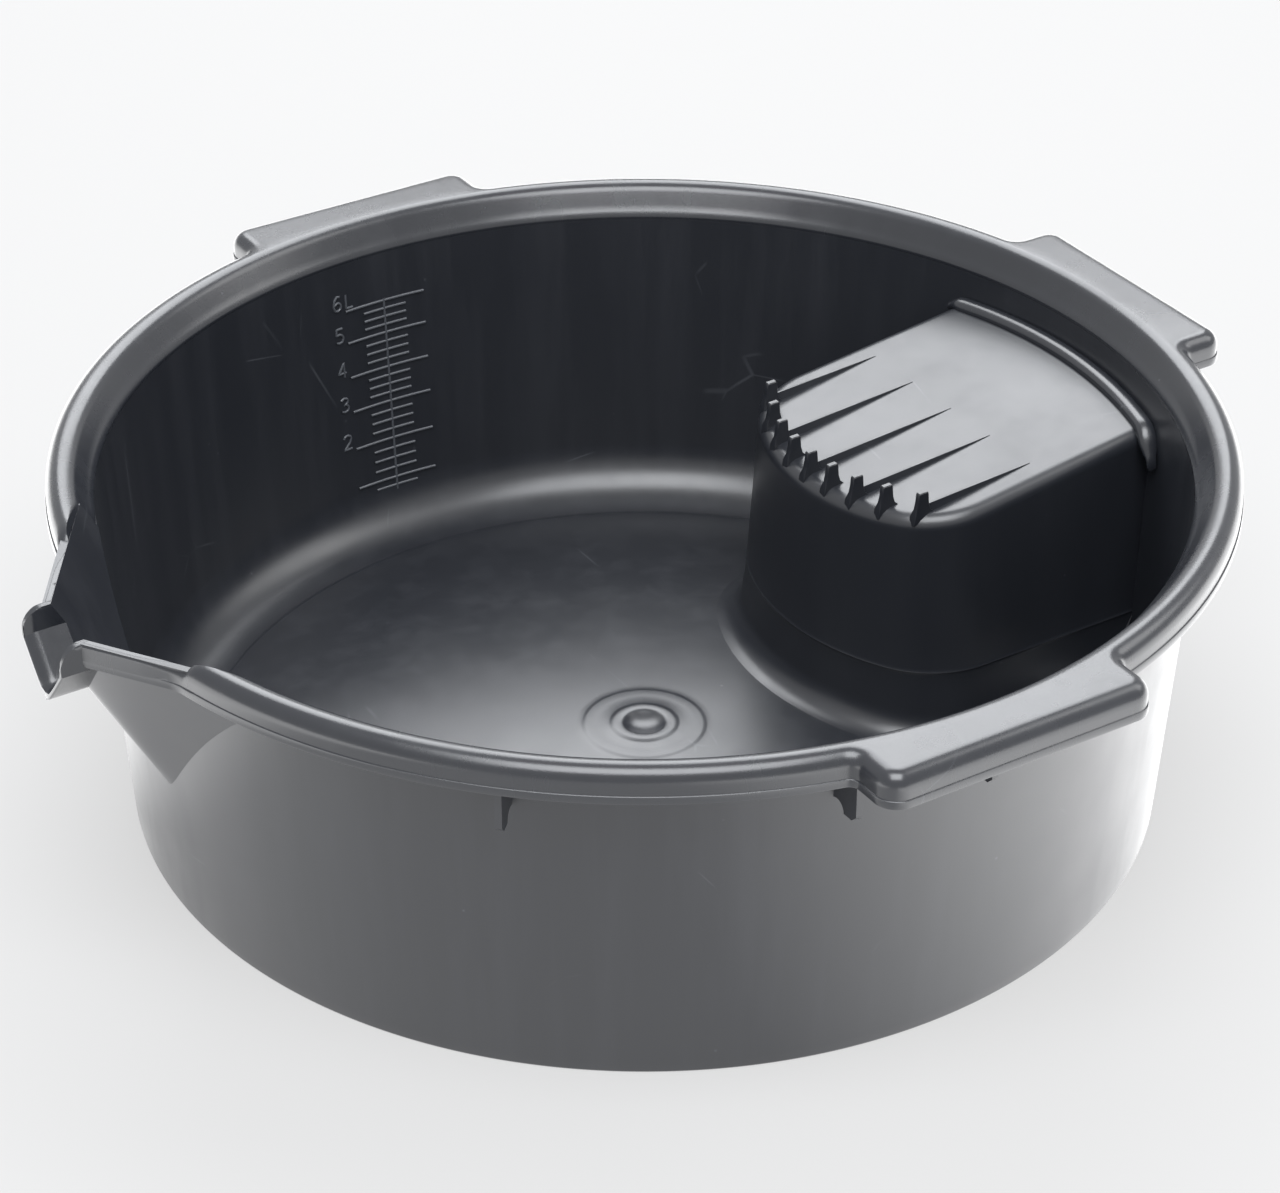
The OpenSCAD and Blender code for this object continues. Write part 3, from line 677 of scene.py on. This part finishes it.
bead = {"radius": 162.3, "from": -21.0, "to": 18.6, "half": 3.2, "rise": 2.9}


def beadSurface():
    # half-round ridge along the back of the shelf, its two ends bent down over the column's sides
    a = np.radians(np.linspace(bead["from"], bead["to"], 90))
    along = np.linspace(0, 1, 90)
    x, y = bead["radius"] * np.cos(a), bead["radius"] * np.sin(a)
    past = np.maximum(np.abs(y) - column["halfWidth"] + 2.5, 0)
    z = shelfZ(x) - past * past * 0.09 - past * 0.1
    size = np.clip(np.minimum(along, 1 - along) * 26, 0.25, 1) ** 0.5
    b = np.linspace(0, 2 * math.pi, 25)[:-1]
    out = np.cos(b)[None, :] * bead["half"] * size[:, None]
    up = np.sin(b)[None, :] * bead["rise"] * size[:, None]
    r = bead["radius"] + out
    return np.stack([r * np.cos(a)[:, None], r * np.sin(a)[:, None], z[:, None] + up], axis=-1)


beadPiece = gridMesh("shelfBead", beadSurface(), loopCols=True, capRows=True, sharp=60)
placePiece(beadPiece, rimSkin, "shelf_bead")

teeth = {"count": 9, "pitch": 10.35, "thick": 1.9, "height": 8.2, "inset": 0.4, "round": 0.3,
         "ribEnd": 58.5, "ribHeight": 2.7}


def lipX(y):
    # where the shelf's outline stands at y
    y = abs(y)
    if y < column["noseR"] * math.sin(math.pi - sideTurn):
        return noseC - math.sqrt(column["noseR"] ** 2 - y * y)
    return sideX0 - math.sqrt(max(column["cornerR"] ** 2 - (y - sideC) ** 2, 0))


def plateSurface(profile, y, halfWidths, bevel):
    # flat plate with bevelled edges: one outline in x and z at four places across its thickness
    centre = profile.mean(axis=0)
    small = profile + (centre - profile) / np.linalg.norm(centre - profile, axis=1)[:, None] * bevel
    rows = []
    faces = ((-1, small, 0.0), (-1, profile, bevel), (1, profile, bevel), (1, small, 0.0))
    for side, outline, inset in faces:
        rows.append(np.stack([outline[:, 0], y + side * (halfWidths - inset * np.minimum(1, halfWidths)),
                              outline[:, 1]], axis=1))
    return np.stack(rows, axis=0)


def toothProfile(y):
    # upright fin with a narrow head and a foot that runs forward over the lip
    x0 = lipX(y) + teeth["inset"]
    base, h = shelfZ(x0), teeth["height"]
    return np.array([[x0 + 0.2, base - 2.6], [x0 + 0.5, base - 0.2], [x0 + 1.3, base + 2.2],
                     [x0 + 1.9, base + 5.0], [x0 + 2.2, base + h - 0.4], [x0 + 2.5, base + h],
                     [x0 + 5.4, base + h + 0.1], [x0 + 5.8, base + h - 0.4], [x0 + 6.2, base + 4.0],
                     [x0 + 6.9, base + 1.6], [x0 + 8.0, base + 0.7], [x0 + 8.2, base - 1.0]])


def ribProfile(y):
    x0 = lipX(y) + teeth["inset"] + 5.6
    x1 = column["noseX"] + teeth["ribEnd"]
    share = np.linspace(0, 1, 12)
    x = x0 + (x1 - x0) * share
    ridge = shelfZ(x) + teeth["ribHeight"] * (1 - share) ** 1.05 + 0.15
    under = shelfZ(x[::-1]) - 0.8
    outline = np.vstack([np.stack([x, ridge], 1), np.stack([x[::-1], under], 1)])
    taper = (1 - 0.7 * share) * teeth["thick"]
    width = np.concatenate([taper * 0.16, taper[::-1] * 0.62])
    return outline, width


for i in range(teeth["count"]):
    y = (i - (teeth["count"] - 1) / 2) * teeth["pitch"]
    fin = toothProfile(y)
    spread = np.full(len(fin), teeth["thick"] / 2)
    spread[[0, 1, -2, -1]] = teeth["thick"] / 2 + 0.5
    piece = gridMesh("drainTooth%d" % (i + 1), plateSurface(fin, y, spread, teeth["round"]),
                     loopCols=True, capRows=True)
    placePiece(piece, shelfSkin, "tooth_%d" % (i + 1))
    if i % 2 == 0:
        outline, width = ribProfile(y)
        rib = gridMesh("drainRib%d" % (i // 2 + 1), plateSurface(outline, y, width, 0.25),
                       loopCols=True, capRows=True)
        placePiece(rib, shelfSkin, "drain_rib_%d" % (i // 2 + 1))
print("shelf and teeth made")

scale = {
    "litreZ": [21.3, 36.4, 50.5, 63.4, 76.2, 88.0], "full": 15.0, "quarter": 8.0, "width": 0.8, "height": 0.5,
    "digitH": 5.2, "digitW": 3.0, "digitGap": 1.1, "digitLine": 0.75,
}
# strokes of each figure in a unit box, drawn as joined points
figureStrokes = {
    "2": [[(0, .78), (.12, .95), (.5, 1), (.88, .9), (.95, .7), (.75, .45), (.3, .18), (0, 0), (1, 0)]],
    "3": [[(0, .88), (.4, 1), (.85, .92), (.92, .72), (.7, .56), (.4, .53), (.75, .5), (1, .3),
           (.85, .07), (.4, 0), (0, .1)]],
    "4": [[(.75, 0), (.75, 1), (0, .3), (1, .3)]],
    "5": [[(.92, 1), (.15, 1), (.08, .58), (.5, .62), (.9, .5), (1, .28), (.82, .06), (.4, 0), (0, .1)]],
    "6": [[(.85, .95), (.5, 1), (.15, .75), (.02, .35), (.2, .05), (.55, 0), (.92, .12), (1, .34),
           (.8, .53), (.45, .56), (.08, .4)]],
    "L": [[(0, 1), (0, 0), (.85, 0)]],
}


def onWall(s, z, rise):
    # a point s along the wall from the middle of the scale, at height z, this far out of the wall
    r = innerR(z) - rise
    a = math.pi / 2 - s / innerR(z)
    return np.stack([r * np.cos(a), r * np.sin(a), z], axis=-1)


def barSurface(s0, s1, z0, z1):
    # low bar with bevelled edges, bent to the wall
    s = np.linspace(s0, s1, 13 if s1 - s0 > 3 else 5)
    z = np.linspace(z0, z1, 13 if z1 - z0 > 3 else 3)
    level = s1 - s0 > z1 - z0
    low, high = (z0, z1) if level else (s0, s1)
    rise = scale["height"]
    rows = [(low, -0.3), (low, rise * 0.5), (low + 0.2, rise), (high - 0.2, rise), (high, rise * 0.5),
            (high, -0.3)]
    if level:
        return np.stack([onWall(s, np.full_like(s, a), b) for a, b in rows], axis=0)
    return np.stack([onWall(np.full_like(z, a), z, b) for a, b in rows], axis=0)


def strokeSurface(points, s0, z0):
    # thin half-round bead along joined points, laid on the wall
    p = np.array(points, float) * [scale["digitW"], scale["digitH"]] + [s0, z0]
    far = np.concatenate([[0], np.cumsum(np.linalg.norm(np.diff(p, axis=0), axis=1))])
    t = np.linspace(0, far[-1], max(int(far[-1] / 0.35), 8))
    q = np.stack([np.interp(t, far, p[:, 0]), np.interp(t, far, p[:, 1])], axis=1)
    d = np.gradient(q, axis=0)
    d /= np.linalg.norm(d, axis=1)[:, None]
    side = np.stack([-d[:, 1], d[:, 0]], axis=1)
    half = scale["digitLine"] / 2
    rows = []
    section = ((-half, -0.3), (-half, 0.15), (-half * 0.5, 0.42), (half * 0.5, 0.42), (half, 0.15),
               (half, -0.3))
    for across, rise in section:
        w = q + side * across
        rows.append(onWall(w[:, 0], w[:, 1], rise))
    return np.stack(rows, axis=0)


def joinPieces(name, pieces):
    # one object from several meshes that share a material
    work = bmesh.new()
    for piece in pieces:
        work.from_mesh(piece.data)
    mesh = bpy.data.meshes.new(name)
    work.to_mesh(mesh)
    work.free()
    for piece in pieces:
        bpy.data.objects.remove(piece)
    mesh.shade_smooth()
    mesh.set_sharp_from_angle(angle=math.radians(35))
    whole = bpy.data.objects.new(name, mesh)
    bpy.context.scene.collection.objects.link(whole)
    return whole


litre, half = scale["litreZ"], scale["width"] / 2
first = (litre[1] - litre[0]) / 4 * 0.8
quarters = [litre[0] - k * first for k in (1, 2, 3)]
quarters += [a + (b - a) * k / 4 for a, b in zip(litre, litre[1:]) for k in (1, 2, 3)]
bars = [barSurface(-half, half, litre[0] - 3 * first - 1, litre[-1] + 1)]
bars += [barSurface(-scale["full"], scale["full"], z - half, z + half) for z in litre]
bars += [barSurface(-scale["quarter"], scale["quarter"], z - half, z + half) for z in quarters]
parts = [gridMesh("bar", bar, loopRows=True, sharp=35) for bar in bars]
for digit, z in zip("23456", litre[1:]):
    s = -scale["full"] - 4.6
    parts += [gridMesh("figure", strokeSurface(line, s, z + scale["digitGap"]), loopRows=True)
              for line in figureStrokes[digit]]
sL, zL = -scale["full"] + 0.4, litre[-1] + scale["digitGap"]
parts += [gridMesh("figure", strokeSurface(line, sL, zL), loopRows=True) for line in figureStrokes["L"]]
scalePiece = joinPieces("litreScale", parts)
placePiece(scalePiece, markSkin, "litre_scale")
print("litre scale made")

# plates under the rim and ribs under the floor keep their CAD shape
for name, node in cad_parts.items():
    if name.startswith(("gusset", "floor_rib")):
        node.data.materials.clear()
        node.data.materials.append(wallSkin)

# the floor's glow in reflections (the two reflection glow values) is painted light for the pan's wall
# reflections
studio = {
    "floorTone": 0.14, "floorGlow": 0.56, "paintedReflectionGlow": 1.15, "paintedSideGlow": 2.3, "worldTone": 0.905,
    "cameraAt": (-0.52098, -0.82093, 0.66805), "cameraAim": (-0.00114, 0.00072, 0.05711), "lens": 104.07,
}


def stageFloor():
    mesh = bpy.data.meshes.new("studioFloor")
    mesh.from_pydata([(-6, -6, 0), (6, -6, 0), (6, 6, 0), (-6, 6, 0)], [], [(0, 1, 2, 3)])
    floor = bpy.data.objects.new("studioFloor", mesh)
    bpy.context.scene.collection.objects.link(floor)
    material = bpy.data.materials.new("pale floor")
    material.use_nodes = True
    shader = material.node_tree.nodes["Principled BSDF"]
    shader.inputs["Base Color"].default_value = (studio["floorTone"],) * 3 + (1,)
    shader.inputs["Roughness"].default_value = 0.9
    shader.inputs["Specular IOR Level"].default_value = 0.1
    shader.inputs["Emission Color"].default_value = (1, 1, 1, 1)
    # seen directly the floor is even; in reflections it is brighter, most of all beside and behind the pan:
    # this extra glow is painted light, a glowing floor that puts painted reflections on the pan's walls
    tree = material.node_tree
    place = tree.nodes.new("ShaderNodeTexCoord").outputs["Object"]
    glow = None
    for direction, low, high in ((-30, 0.03, 0.2), (122, 0.13, 0.21)):
        a = math.radians(direction)
        reach = tree.nodes.new("ShaderNodeVectorMath")
        reach.operation = "DOT_PRODUCT"
        tree.links.new(place, reach.inputs[0])
        reach.inputs[1].default_value = (math.cos(a), math.sin(a), 0)
        share = remap(tree, reach.outputs["Value"], low, high, 0, studio["paintedSideGlow"])
        glow = share if glow is None else math2(tree, "MAXIMUM", glow, share)
    # painted light: glow seen only in reflections, stronger beside and behind the pan
    mirrored = math2(tree, "ADD", glow, studio["paintedReflectionGlow"])
    seen = tree.nodes.new("ShaderNodeLightPath").outputs["Is Camera Ray"]
    power = tree.nodes.new("ShaderNodeMix")
    tree.links.new(seen, power.inputs["Factor"])
    tree.links.new(mirrored, power.inputs["A"])
    power.inputs["B"].default_value = studio["floorGlow"]
    tree.links.new(power.outputs["Result"], shader.inputs["Emission Strength"])
    mesh.materials.append(material)


def softLight(name, azimuth, elevation, distance, width, height, power, tone=(1, 1, 1)):
    # a soft box that faces the middle of the pan
    light = bpy.data.lights.new(name, "AREA")
    light.shape = "RECTANGLE"
    light.size, light.size_y = width, height
    light.energy = power
    light.color = tone
    box = bpy.data.objects.new(name, light)
    a, e = math.radians(azimuth), math.radians(elevation)
    box.location = (distance * math.cos(e) * math.cos(a), distance * math.cos(e) * math.sin(a),
                    0.06 + distance * math.sin(e))
    aim = Vector((0, 0, 0.06)) - Vector(box.location)
    box.rotation_euler = aim.to_track_quat("-Z", "Y").to_euler()
    bpy.context.scene.collection.objects.link(box)


stageFloor()
softLight("backBox", 61, 45, 1.6, 1.4, 1.0, 29, (0.95, 0.97, 1.0))
softLight("sideBox", -20, 42, 1.6, 0.7, 0.9, 7)
softLight("topBox", -122, 66, 1.5, 1.1, 0.9, 27, (0.95, 0.97, 1.0))

world = bpy.data.worlds.new("studioWorld")
bpy.context.scene.world = world
world.use_nodes = True
world.node_tree.nodes["Background"].inputs[0].default_value = (studio["worldTone"],) * 3 + (1,)

camera = bpy.data.cameras.new("camera")
camera.lens = studio["lens"]
camera.sensor_width = 36.0
cameraObject = bpy.data.objects.new("camera", camera)
cameraObject.location = studio["cameraAt"]
aim = Vector(studio["cameraAim"]) - Vector(cameraObject.location)
cameraObject.rotation_euler = aim.to_track_quat("-Z", "Y").to_euler()
bpy.context.scene.collection.objects.link(cameraObject)
bpy.context.scene.camera = cameraObject
bpy.context.scene.view_settings.view_transform = "Standard"

print("scene ready")
